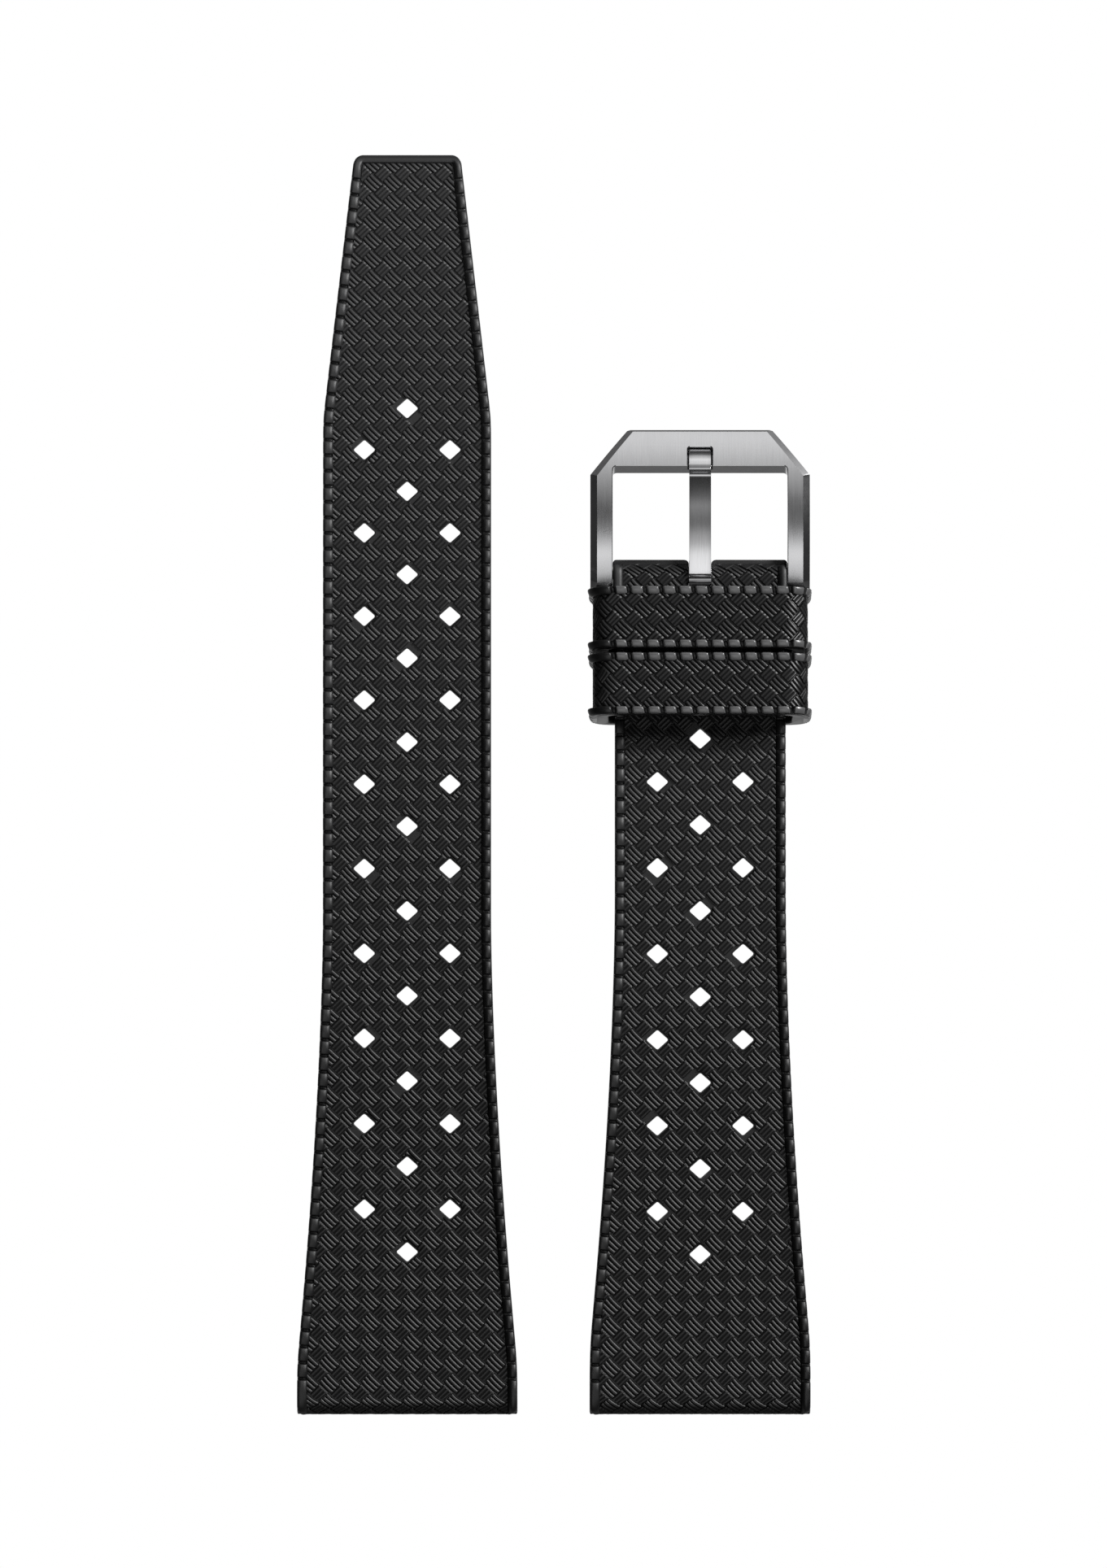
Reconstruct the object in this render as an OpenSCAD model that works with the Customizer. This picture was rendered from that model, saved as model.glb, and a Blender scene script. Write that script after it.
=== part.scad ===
// Two-piece moulded rubber watch strap with a pin buckle, laid out face up.
// The hole (tail) half lies at -X, the buckle half with its two keepers at +X.
// Frame: +Z up (woven face up), +Y from the lug ends to the tips, z = 0 is the
// table, origin under the middle of the whole layout. Millimetres.

/* [Layout] */
// Distance from the centre line to the middle of each half
half_x = 13.48; // [12.8:0.01:16]
// Full length of the tail half
tail_len = 116.2; // [112:0.1:120]

/* [Strap width] */
// Width between the watch lugs
lug_w = 20.2; // [19:0.1:21]
// Width of the tail half along its middle
tail_w = 15.4; // [15:0.1:15.8]
// Width of the buckle half along its middle
buckle_w = 15.66; // [15:0.01:15.8]
// Width of the tail at its squared tip
tip_w = 9.9; // [9:0.1:11]

/* [Strap thickness] */
// Thickness at the lug end
lug_t = 3.8; // [3.4:0.1:4.2]
// Thickness of the buckle half along its middle
buckle_t = 2.6; // [2.4:0.05:2.7]
// Thickness of the tail half along its middle
tail_t = 2.5; // [2.2:0.05:2.6]
// Thickness at the tail's tip
tip_t = 2.2; // [2:0.05:2.4]
// Width of the raised edge rims
rim_w = 0.9; // [0.6:0.05:1.2]
// Height of the rims over the woven field
rim_h = 0.35; // [0.2:0.05:0.5]
// Radius of the spring bar tunnels at the lug ends
lug_bore_r = 0.9; // [0.7:0.05:1]

/* [Holes] */
// Width of a diamond hole across its points
hole_w = 1.9; // [1.6:0.05:2.1]
// Length of a diamond hole along the strap
hole_l = 1.74; // [1.5:0.02:1.9]
// Distance from the centre line to the outer hole columns
hole_col = 3.94; // [3.6:0.02:4.2]
// Row pitch at the tip end of the tail half
tail_pitch = 3.81; // [3.7:0.01:3.9]
// Growth of the tail half's pitch from one row to the next
tail_growth = 0.0073; // [0:0.0001:0.008]
// Row pitch of the buckle half
buckle_pitch = 3.955; // [3.9:0.005:4]

/* [Arch] */
// Radius to which the tail half arches up between its ends
tail_arch_r = 450; // [400:10:700]
// Radius to which the buckle half arches up between its ends
buckle_arch_r = 285; // [280:5:300]

/* [Buckle] */
// Gap between the legs of the buckle frame
frame_gap = 16.1; // [16.1:0.05:16.3]
// Width over the legs of the buckle frame
frame_w = 20.2; // [20:0.1:20.6]
// Thickness of the frame's bent plate
frame_t = 2.2; // [2:0.1:2.2]
// Length from the bar axis to the frame's outer edge
frame_len = 13.5; // [13.3:0.1:13.8]
// Radius of the frame's arch, at the middle of the plate
frame_arch_r = 17; // [16.5:0.1:17.5]
// Width of the straight outer edge between the clipped corners
frame_top_w = 13.4; // [12:0.1:14]
// Droop of the frame from level while it rests on the table, degrees
frame_droop = 6.66; // [6.6:0.01:6.7]
// Width of the tongue
tongue_w = 2; // [1.8:0.05:2.1]
// Width of the tongue slot in the strap's nose and of the frame's notch
slot_w = 2.3; // [2.2:0.05:2.5]

/* [Keepers] */
// Length of each keeper along the strap
keeper_l = 5.7; // [5.5:0.05:5.9]
// Width over a keeper, without its beads
keeper_w = 19.8; // [19.6:0.1:20]
// Width of the opening through a keeper
keeper_in_w = 16.8; // [16.6:0.1:17]
// Height of the opening through a keeper
keeper_in_h = 5.7; // [5.6:0.05:5.9]
// Thickness of a keeper's top and bottom walls
keeper_wall = 1.1; // [1:0.05:1.2]
// Height of the edge beads over a keeper's outside
bead_h = 0.3; // [0.2:0.05:0.35]
// Length of each edge bead along the strap
bead_l = 0.75; // [0.5:0.05:1]

/* [Spring bar] */
// Outer radius of the bar's tube
tube_r = 0.75; // [0.7:0.01:0.75]
// Radius of the end pivots
pivot_r = 0.4; // [0.35:0.01:0.42]

/* [Hidden] */

y0 = -tail_len / 2;                 // lug ends of both halves
lug_r = lug_t / 2;                  // rounded lug ends
bar_y = 19.4;                       // axis of the buckle's spring bar
bar_z = 2.75;
nose_r = 1.4;                       // rounded nose of the buckle half
bore_r = 0.8;                       // tunnel through the nose
leg_r = 1.3;                        // rounded ends of the frame's legs
tail_tip_y = tail_len / 2 - tip_t / 2;
tail_tip_z = tip_t / 2;
step = 3;                           // spacing of the stations along a half

// smooth lower of two values, and a smooth step from 0 to 1
function smin(a, b, k) = -k * ln(exp(-a / k) + exp(-b / k));
function ease(x) = let (t = max(0, min(1, x))) t * t * (3 - 2 * t);

// half widths at a distance d from the lug end
function tail_hw(d) =
    let (flare = 2.3 * pow(max(0, 46 - d) / 40, 1.62),
         lug = tail_w / 2 + smin(flare, lug_w / 2 - tail_w / 2 + 0.02, 0.08),
         taper = tip_w / 2 + 0.116 * (tail_len - 0.7 - d))
    smin(lug, taper, 0.06);
function buckle_hw(d) =
    buckle_w / 2 + smin(2.55 * pow(max(0, 48 - d) / 44, 1.72),
                        lug_w / 2 - buckle_w / 2 + 0.04, 0.1);

// centre curves: an arc of radius r through (ya, za) and (yb, zb), convex up
function arc_mid(ya, za, yb, zb, r) =
    let (dx = yb - ya, dz = zb - za, c = norm([dx, dz]), h = sqrt(r * r - c * c / 4))
    [(ya + yb) / 2 + dz / c * h, (za + zb) / 2 - dx / c * h];
tail_c = arc_mid(y0 + lug_r, lug_r, tail_tip_y, tail_tip_z, tail_arch_r);
buck_c = arc_mid(y0 + lug_r, lug_r, bar_y, bar_z, buckle_arch_r);
function arc_z(y, c, r) = c[1] + sqrt(r * r - pow(y - c[0], 2));
function arc_slope(y, c, r) = -asin((y - c[0]) / r);
function tail_z(y) = arc_z(y, tail_c, tail_arch_r);
function buck_z(y) = arc_z(y, buck_c, buckle_arch_r);

// thickness at y
function tail_th(y) = tail_t + (lug_t - tail_t) * (1 - ease((y - y0 - lug_r) / 17))
                      + (tip_t - tail_t) * ease((y - 30) / 25);
function buck_th(y) = buckle_t + (lug_t - buckle_t) * (1 - ease((y - y0 - lug_r) / 17))
                      + (2 * nose_r - buckle_t) * ease((y - bar_y + 3.5) / 3.5);

module along_x(w) rotate([90, 0, 90]) linear_extrude(w, center = true) children();
module bar_x(r, x1, x2) translate([x1, 0, 0]) rotate([0, 90, 0]) cylinder(r = r, h = x2 - x1, $fn = 48);

// side view of a half: rounded ends, and a top that follows the thickness
function stations(a, b) = let (n = ceil((b - a) / step)) [for (i = [0:n]) a + (b - a) * i / n];
function arc(y, z, r, a1, a2, n = 12) = [for (i = [0:n]) let (a = a1 + (a2 - a1) * i / n) [y + r * cos(a), z + r * sin(a)]];
module tail_side() {
    ys = stations(y0 + lug_r + 0.5, tail_tip_y - 0.5);
    polygon(concat(arc(y0 + lug_r, lug_r, lug_r, 270, 90),
                   [for (y = ys) [y, tail_z(y) + tail_th(y) / 2]],
                   arc(tail_tip_y, tail_tip_z, tip_t / 2, 90, -90),
                   [for (i = [len(ys) - 1:-1:0]) [ys[i], tail_z(ys[i]) - tail_th(ys[i]) / 2]]));
}
module buckle_side() {
    ys = stations(y0 + lug_r + 0.5, bar_y - 0.5);
    polygon(concat(arc(y0 + lug_r, lug_r, lug_r, 270, 90),
                   [for (y = ys) [y, buck_z(y) + buck_th(y) / 2]],
                   arc(bar_y, bar_z, nose_r, 90, -90),
                   [for (i = [len(ys) - 1:-1:0]) [ys[i], buck_z(ys[i]) - buck_th(ys[i]) / 2]]));
}
// the space over the woven field, between the rims
module tail_field_side() {
    ys = stations(y0 + 2.6, tail_len / 2 - 1.9);
    polygon(concat([for (y = ys) [y, tail_z(y) + tail_th(y) / 2 - rim_h]],
                   [for (i = [len(ys) - 1:-1:0]) [ys[i], tail_z(ys[i]) + 6]]));
}
module buckle_field_side() {
    ys = stations(y0 + 2.6, bar_y + 0.4);
    polygon(concat([for (y = ys) [y, buck_z(y) + buck_th(y) / 2 - rim_h]],
                   [for (i = [len(ys) - 1:-1:0]) [ys[i], buck_z(ys[i]) + 6]]));
}

// plan views, with an inset for the field between the rims
function corner(x, y, r, a1, a2) = [for (i = [0:4]) let (a = a1 + (a2 - a1) * i / 4) [x + r * cos(a), y + r * sin(a)]];
module plan(half) {
    polygon(concat(half, [for (i = [len(half) - 1:-1:0]) [-half[i][0], half[i][1]]]));
}
module tail_plan(inset = 0) {
    tip = tail_len / 2 - inset;
    r = max(0.35, 0.85 - inset / 2);
    ds = [for (d = [3:step:tail_len - 4]) d];
    plan(concat(corner(tail_hw(0) - inset - 0.4, y0 + 0.4, 0.4, -90, 0),
                [for (d = ds) [tail_hw(d) - inset, y0 + d]],
                corner(tail_hw(tail_len - 0.8) - inset - r, tip - r, r, 0, 90)));
}
module buckle_plan(inset = 0) {
    nose = bar_y + nose_r;
    ds = [for (d = [3:step:nose - y0 - 3]) d];
    plan(concat(corner(buckle_hw(0) - inset - 0.4, y0 + 0.4, 0.4, -90, 0),
                [for (d = ds) [buckle_hw(d) - inset, y0 + d]],
                corner(buckle_hw(nose - y0) - inset - 0.5, nose - 0.5, 0.5, 0, 90)));
}

// diamond holes with blunted points
module diamond() {
    b = 0.16;
    linear_extrude(20) polygon([for (s = [[1, 1], [-1, 1], [-1, -1], [1, -1]], k = [0, 1])
        let (m = (s[0] * s[1] > 0) ? k : 1 - k)
        m == 0 ? [s[0] * (hole_w / 2 - b / 2), s[1] * b / 2]
               : [s[0] * b / 2, s[1] * (hole_l / 2 - b / 2)]]);
}
module hole_row(x, y, pair) {
    if (pair) for (s = [-1, 1]) translate([x + s * hole_col, y, -5]) diamond();
    else translate([x, y, -5]) diamond();
}
tail_hole_y = tail_len / 2 - 23.38;     // first hole, nearest the tip
buckle_hole_y = 4.3;                    // first hole, nearest the keepers

module long_strap() color("#1c1c1e") translate([-half_x, 0, 0]) difference() {
    intersection() {
        along_x(30) tail_side();
        translate([0, 0, -5]) linear_extrude(20) tail_plan();
    }
    intersection() {
        along_x(30) tail_field_side();
        translate([0, 0, -5]) linear_extrude(20) tail_plan(rim_w);
    }
    for (j = [0:20])
        hole_row(0, tail_hole_y - tail_pitch * j - tail_growth / 2 * j * j, j % 2 == 1);
    translate([0, y0 + lug_r, lug_r]) bar_x(lug_bore_r, -12, 12);
}

module short_strap() color("#1b1b1d") translate([half_x, 0, 0]) difference() {
    intersection() {
        along_x(30) buckle_side();
        translate([0, 0, -5]) linear_extrude(20) buckle_plan();
    }
    intersection() {
        along_x(30) buckle_field_side();
        translate([0, 0, -5]) linear_extrude(20) buckle_plan(rim_w);
    }
    for (j = [0:12]) hole_row(0, buckle_hole_y - buckle_pitch * j, j % 2 == 1);
    translate([0, y0 + lug_r, lug_r]) bar_x(lug_bore_r, -12, 12);
    translate([0, bar_y, bar_z]) bar_x(bore_r, -12, 12);
    translate([-slot_w / 2, bar_y - 1.62, -5]) cube([slot_w, 10, 20]);
}

// one keeper loop: a rounded box section with a bead round each edge
module box_section(w, h, r) {
    square([w - 2 * r, h], center = true);
    square([w, h - 2 * r], center = true);
    for (sx = [-1, 1], sz = [-1, 1])
        translate([sx * (w / 2 - r), sz * (h / 2 - r)]) circle(r, $fn = 32);
}
module keeper() rotate([90, 0, 0]) difference() {
    union() {
        linear_extrude(keeper_l - 2 * bead_l + 0.02, center = true)
            box_section(keeper_w, keeper_in_h + 2 * keeper_wall, 2);
        for (s = [-1, 1]) translate([0, 0, s * (keeper_l - bead_l) / 2])
            linear_extrude(bead_l, center = true)
                box_section(keeper_w + 2 * bead_h, keeper_in_h + 2 * keeper_wall + 2 * bead_h, 2.2);
    }
    linear_extrude(20, center = true) box_section(keeper_in_w, keeper_in_h, 1);
}
// middle of keeper number k (0 in front), which leans a little from square to the strap there
keeper_gap = 0.30;
keeper_lean = 2.5;
function keeper_y(k) = bar_y - 4.655 - k * (keeper_l + keeper_gap);
module place_keeper(k) {
    y = keeper_y(k);
    a = arc_slope(y, buck_c, buckle_arch_r) - keeper_lean;
    lift = keeper_in_h / 2 - buckle_t / 2 - 0.34;
    translate([half_x, y, buck_z(y)]) rotate([a, 0, 0]) translate([0, 0, lift]) keeper();
}
module front_keeper() color("#232325") place_keeper(0);
module rear_keeper() color("#29292b") place_keeper(1);

// buckle frame, drawn about the bar axis with u along the frame and w up
apex_u = 6.2;
arch_w = -sqrt(frame_arch_r * frame_arch_r - apex_u * apex_u);
function on_arch(r, s) = [apex_u + r * s, arch_w + r * sqrt(1 - s * s)];
r_out = frame_arch_r + frame_t / 2;
r_in = frame_arch_r - frame_t / 2;
function sine_at(u) = (u - apex_u) / r_out;     // radial line through u on the outer face
module band(r1, r2, s1, s2, n = 14)
    polygon(concat([for (i = [0:n]) on_arch(r2, s1 + (s2 - s1) * i / n)],
                   [for (i = [n:-1:0]) on_arch(r1, s1 + (s2 - s1) * i / n)]));
module at_bar(a) translate([half_x, bar_y, bar_z]) rotate([a, 0, 0]) children();
module frame_blank() {
    along_x(30) band(r_in, r_out, sine_at(1.2), sine_at(frame_len));
    along_x(30) circle(leg_r, $fn = 64);
    along_x(30) polygon(concat([[0, leg_r]], [on_arch(r_out, sine_at(1.2))],
                               [on_arch(r_in, sine_at(1.2))], [[0, -leg_r]]));
}
module buckle_frame() color("#a9aaac") at_bar(-frame_droop) difference() {
    intersection() {
        frame_blank();
        translate([0, 0, -10]) linear_extrude(20)
            polygon([[-frame_w / 2, -5], [frame_w / 2, -5], [frame_w / 2, frame_len - 4.35],
                     [frame_top_w / 2, frame_len + 0.01], [-frame_top_w / 2, frame_len + 0.01],
                     [-frame_w / 2, frame_len - 4.35]]);
    }
    along_x(frame_gap) union() {
        band(r_in - 4, r_out + 4, sine_at(1), sine_at(frame_len - 3.6));
        translate([-6, -6]) square([8, 12]);
    }
    along_x(slot_w) band(r_out - 1.1, r_out + 4, sine_at(frame_len - 5.4), sine_at(frame_len - 1.75));
    for (s = [0, 1]) rotate([0, 0, 180 * s]) bar_x(pivot_r + 0.05, 0, 9.35);
}

// tongue: a strip curled round the bar, arched over the window, bent into the notch
tongue_c = r_out - 0.62;
function tongue_mid(u) = arch_w + sqrt(tongue_c * tongue_c - pow(u - apex_u, 2))
    + 0.62 * (1 - ease((u - 7.9) / 2.3));
function tongue_t(u) = 0.55 + 0.2 * ease((u + 0.4) / 2.4);
tongue_end = frame_len - 1.92;
function tongue_u(i, end) = -0.38 + (end + 0.38) * i / 28;
module buckle_tongue() color("#b9babc") at_bar(-frame_droop) difference() {
    union() {
        along_x(tongue_w) polygon(concat(
            [for (i = [0:28]) let (u = tongue_u(i, tongue_end)) [u, tongue_mid(u) + tongue_t(u) / 2]],
            [for (i = [28:-1:0]) let (u = tongue_u(i, tongue_end - 0.25)) [u, tongue_mid(u) - tongue_t(u) / 2]]));
        bar_x(1.35, -tongue_w / 2, tongue_w / 2);
    }
    bar_x(bore_r, -5, 5);
}

// spring bar: crimped tube, two headed tips and the coil spring between them
tube_half = 5.8;
lip = 0.3;
head_r = 0.5;
neck_r = 0.36;
tube_half_section = [[head_r + 0.05, tube_half - lip], [neck_r + 0.06, tube_half - lip],
                     [neck_r + 0.06, tube_half], [tube_r, tube_half]];
module spring_bar_tube() color("#9c9da0") translate([half_x, bar_y, bar_z]) rotate([0, 90, 0])
    rotate_extrude($fn = 64) polygon(concat(
        [for (p = tube_half_section) p],
        [for (i = [3:-1:0]) [tube_half_section[i][0], -tube_half_section[i][1]]]));
module tip(s) translate([half_x, bar_y, bar_z]) rotate([0, s * 90, 0])
    rotate_extrude($fn = 64) polygon([
        [0, 4.6], [head_r, 4.6], [head_r, 5.45], [neck_r, 5.45], [neck_r, 7.1], [0.7, 7.1],
        [0.7, 7.75], [pivot_r, 7.75], [pivot_r, 9.1], [pivot_r - 0.15, 9.25], [0, 9.25]]);
module spring_bar_tip_left() color("#b3b4b6") tip(-1);
module spring_bar_tip_right() color("#b3b4b6") tip(1);

coil_r = 0.38;
wire_r = 0.09;
coil_turns = 13;
module spring_bar_spring() color("#8b8d90") translate([half_x, bar_y, bar_z]) {
    seg = 12;
    n = coil_turns * seg;
    len_x = 2 * (4.6 - wire_r - 0.03);
    pts = [for (i = [0:n], k = [0:5]) let (a = 360 * i / seg, b = 60 * k, r = coil_r + wire_r * cos(b))
        [len_x * (i / n - 0.5) + wire_r * sin(b), r * cos(a), r * sin(a)]];
    polyhedron(pts, concat([[for (k = [5:-1:0]) k]], [[for (k = [0:5]) n * 6 + k]],
        [for (i = [0:n - 1], k = [0:5]) let (k2 = (k + 1) % 6)
            [i * 6 + k2, (i + 1) * 6 + k2, (i + 1) * 6 + k, i * 6 + k]]));
}

long_strap();
short_strap();
front_keeper();
rear_keeper();
buckle_frame();
buckle_tongue();
spring_bar_tube();
spring_bar_spring();
spring_bar_tip_left();
spring_bar_tip_right();
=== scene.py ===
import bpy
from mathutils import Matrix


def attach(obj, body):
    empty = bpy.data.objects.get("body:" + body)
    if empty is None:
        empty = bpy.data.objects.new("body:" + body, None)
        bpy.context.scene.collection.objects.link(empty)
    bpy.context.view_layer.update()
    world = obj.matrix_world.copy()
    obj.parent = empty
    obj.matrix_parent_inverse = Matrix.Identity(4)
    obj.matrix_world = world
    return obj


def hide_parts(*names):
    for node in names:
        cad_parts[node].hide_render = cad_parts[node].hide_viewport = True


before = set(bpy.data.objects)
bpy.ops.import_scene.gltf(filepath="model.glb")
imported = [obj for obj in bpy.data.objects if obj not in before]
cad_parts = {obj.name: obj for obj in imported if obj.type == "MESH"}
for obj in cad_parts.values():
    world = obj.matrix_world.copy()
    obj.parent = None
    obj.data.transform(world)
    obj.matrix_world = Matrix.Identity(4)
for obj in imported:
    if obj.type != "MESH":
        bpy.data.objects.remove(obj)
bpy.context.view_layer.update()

import math

import bmesh
import bpy
import numpy as np
from mathutils import Matrix, Vector

# Everything below is drawn in millimetres in the CAD frame and scaled to metres
# when a mesh is finished. +Z is up, +Y runs from the lug ends to the tips.
MM = 0.001
scene = bpy.context.scene

# ---------------------------------------------------------------- CAD numbers
HALF_X = 13.48
TAIL_LEN = 116.2
Y0 = -TAIL_LEN / 2
LUG_W, TAIL_W, BUCKLE_W, TIP_W = 20.2, 15.4, 15.66, 9.9
LUG_T, BUCKLE_T, TAIL_T, TIP_T = 3.8, 2.6, 2.5, 2.2
LUG_R = LUG_T / 2
YL = Y0 + LUG_R                       # middle of the rounded lug ends
LUG_BORE = 0.9
BAR_Y, BAR_Z = 19.4, 2.75
NOSE_R, NOSE_BORE = 1.4, 0.8
TIP_Y, TIP_Z = TAIL_LEN / 2 - TIP_T / 2, TIP_T / 2
TAIL_R, BUCKLE_R = 450.0, 285.0


def ease(x):
    t = np.clip(x, 0.0, 1.0)
    return t * t * (3 - 2 * t)


def smin(a, b, k):
    return -k * np.log(np.exp(-a / k) + np.exp(-b / k))


def tail_hw(y):
    d = np.asarray(y, float) - Y0
    flare = 2.3 * np.power(np.maximum(0, 46 - d) / 40, 1.62)
    lug = TAIL_W / 2 + smin(flare, LUG_W / 2 - TAIL_W / 2 + 0.02, 0.08)
    taper = TIP_W / 2 + 0.116 * (TAIL_LEN - 0.7 - d)
    return smin(lug, taper, 0.06)


def buckle_hw(y):
    d = np.asarray(y, float) - Y0
    flare = 2.55 * np.power(np.maximum(0, 48 - d) / 44, 1.72)
    return BUCKLE_W / 2 + smin(flare, LUG_W / 2 - BUCKLE_W / 2 + 0.04, 0.1)


class Arc:
    """A circle arc through two points, convex upwards."""

    def __init__(self, ya, za, yb, zb, r):
        dx, dz = yb - ya, zb - za
        c = math.hypot(dx, dz)
        h = math.sqrt(r * r - c * c / 4)
        self.y, self.z, self.r = (ya + yb) / 2 + dz / c * h, (za + zb) / 2 - dx / c * h, r

    def at(self, y):
        return self.z + np.sqrt(self.r**2 - (np.asarray(y, float) - self.y) ** 2)

    def slope(self, y):
        return -math.asin((y - self.y) / self.r)


TAIL_ARC = Arc(YL, LUG_R, TIP_Y, TIP_Z, TAIL_R)
BUCKLE_ARC = Arc(YL, LUG_R, BAR_Y, BAR_Z, BUCKLE_R)


def tail_th(y):
    return TAIL_T + (LUG_T - TAIL_T) * (1 - ease((y - YL) / 17)) + (TIP_T - TAIL_T) * ease((y - 30) / 25)


def buckle_th(y):
    return BUCKLE_T + (LUG_T - BUCKLE_T) * (1 - ease((y - YL) / 17)) + (2 * NOSE_R - BUCKLE_T) * ease((y - BAR_Y + 3.5) / 3.5)


# ---------------------------------------------------------------- mesh helpers
def mesh_obj(name, v, f):
    """A mesh object from points in mm and faces: a list of faces, or a tuple of arrays of equal faces."""
    me = bpy.data.meshes.new(name)
    v = np.asarray(v, np.float32)
    if isinstance(f, tuple):
        loops = np.concatenate([a.ravel() for a in f]).astype(np.int32)
        sizes = np.concatenate([np.full(len(a), a.shape[1]) for a in f])
        me.vertices.add(len(v))
        me.vertices.foreach_set("co", v.ravel())
        me.loops.add(len(loops))
        me.loops.foreach_set("vertex_index", loops)
        me.polygons.add(len(sizes))
        me.polygons.foreach_set("loop_start", np.concatenate([[0], np.cumsum(sizes)[:-1]]).astype(np.int32))
    else:
        me.from_pydata([tuple(p) for p in v.tolist()], [], f)
    me.update(calc_edges=True)
    me.validate()
    ob = bpy.data.objects.new(name, me)
    scene.collection.objects.link(ob)
    return ob


def drop(ob):
    me = ob.data
    bpy.data.objects.remove(ob)
    if me is not None and me.users == 0:
        bpy.data.meshes.remove(me)


def apply_modifiers(ob):
    bpy.context.view_layer.update()
    dg = bpy.context.evaluated_depsgraph_get()
    new = bpy.data.meshes.new_from_object(ob.evaluated_get(dg), depsgraph=dg)
    ob.modifiers.clear()
    old = ob.data
    ob.data = new
    bpy.data.meshes.remove(old)
    return ob


def boolean(a, b, op="DIFFERENCE", keep=False):
    m = a.modifiers.new("cut", "BOOLEAN")
    m.object, m.operation, m.solver = b, op, "MANIFOLD"
    apply_modifiers(a)
    if not keep:
        drop(b)
    return a


def co_of(ob):
    co = np.zeros(len(ob.data.vertices) * 3, np.float32)
    ob.data.vertices.foreach_get("co", co)
    return co.reshape(-1, 3).astype(float)


def set_co(ob, co):
    ob.data.vertices.foreach_set("co", np.asarray(co, np.float32).ravel())
    ob.data.update()


def prism(name, poly, lo, hi, axis):
    """A polygon of two coordinates pushed along an axis. axis "x": (y, z), axis "y": (x, z), axis "z": (x, y)."""
    n = len(poly)
    a = np.array(poly, float)
    v = np.zeros((2 * n, 3))
    o = {"x": (1, 2, 0), "y": (0, 2, 1), "z": (0, 1, 2)}[axis]
    for k, c in enumerate((lo, hi)):
        v[k * n:(k + 1) * n, o[0]] = a[:, 0]
        v[k * n:(k + 1) * n, o[1]] = a[:, 1]
        v[k * n:(k + 1) * n, o[2]] = c
    f = [list(range(n - 1, -1, -1)), list(range(n, 2 * n))]
    f += [[i, (i + 1) % n, n + (i + 1) % n, n + i] for i in range(n)]
    ob = mesh_obj(name, v, f)
    outward(ob)
    return ob


def outward(ob):
    bm = bmesh.new()
    bm.from_mesh(ob.data)
    bmesh.ops.recalc_face_normals(bm, faces=bm.faces)
    bm.to_mesh(ob.data)
    bm.free()


def tube(name, rings, closed=False):
    """A skin over rings of equally many points; its ends are capped, or it is closed on itself."""
    r = np.asarray(rings, float)
    m, n = r.shape[:2]
    f = []
    for k in range(m if closed else m - 1):
        k2 = (k + 1) % m
        for i in range(n):
            j = (i + 1) % n
            f.append([k * n + i, k * n + j, k2 * n + j, k2 * n + i])
    if not closed:
        f.append(list(range(n - 1, -1, -1)))
        f.append([(m - 1) * n + i for i in range(n)])
    ob = mesh_obj(name, r.reshape(-1, 3), f)
    outward(ob)
    return ob


def circle(cy, cz, r, n=48):
    return [(cy + r * math.cos(2 * math.pi * i / n), cz + r * math.sin(2 * math.pi * i / n)) for i in range(n)]


def smooth(ob, angle):
    """Smooth shading, with edges sharper than the angle left sharp."""
    me = ob.data
    me.polygons.foreach_set("use_smooth", np.ones(len(me.polygons), bool))
    bm = bmesh.new()
    bm.from_mesh(me)
    lim = math.radians(angle)
    for e in bm.edges:
        e.smooth = len(e.link_faces) != 2 or e.calc_face_angle(0.0) < lim
    bm.to_mesh(me)
    bm.free()
    me.update()


def tidy(ob, dist=0.0015):
    """Welds the slivers that cutting leaves."""
    bm = bmesh.new()
    bm.from_mesh(ob.data)
    bmesh.ops.dissolve_degenerate(bm, dist=dist, edges=bm.edges)
    bm.to_mesh(ob.data)
    bm.free()
    ob.data.update()


def finish_piece(ob, body, nodes, mats):
    ob.data.transform(Matrix.Scale(MM, 4))
    ob.data.materials.clear()
    for m in mats:
        ob.data.materials.append(m)
    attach(ob, body)
    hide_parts(*nodes)
    return ob


# ---------------------------------------------------------------- materials
def principled(name):
    m = bpy.data.materials.new(name)
    m.use_nodes = True
    nt = m.node_tree
    return m, nt, nt.nodes["Principled BSDF"]


def node(nt, kind, **values):
    n = nt.nodes.new(kind)
    for k, v in values.items():
        if k in n.inputs:
            n.inputs[k].default_value = v
        else:
            setattr(n, k, v)
    return n


def noise(nt, coord, scale, detail=3.0, rough=0.5, stretch=(1, 1, 1)):
    mp = node(nt, "ShaderNodeMapping")
    mp.inputs["Scale"].default_value = stretch
    nt.links.new(coord, mp.inputs["Vector"])
    n = node(nt, "ShaderNodeTexNoise")
    n.inputs["Scale"].default_value = scale
    n.inputs["Detail"].default_value = detail
    n.inputs["Roughness"].default_value = rough
    nt.links.new(mp.outputs["Vector"], n.inputs["Vector"])
    return n.outputs["Fac"]


def ramp(nt, fac, stops):
    r = node(nt, "ShaderNodeValToRGB")
    e = r.color_ramp.elements
    while len(e) < len(stops):
        e.new(0.5)
    for el, (p, c) in zip(e, stops):
        el.position = p
        el.color = (c, c, c, 1) if isinstance(c, (int, float)) else (*c, 1)
    nt.links.new(fac, r.inputs["Fac"])
    return r.outputs["Color"]


def scalar(nt, fac, lo, hi):
    r = node(nt, "ShaderNodeMapRange")
    r.inputs["To Min"].default_value = lo
    r.inputs["To Max"].default_value = hi
    nt.links.new(fac, r.inputs["Value"])
    return r.outputs["Result"]


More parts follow.
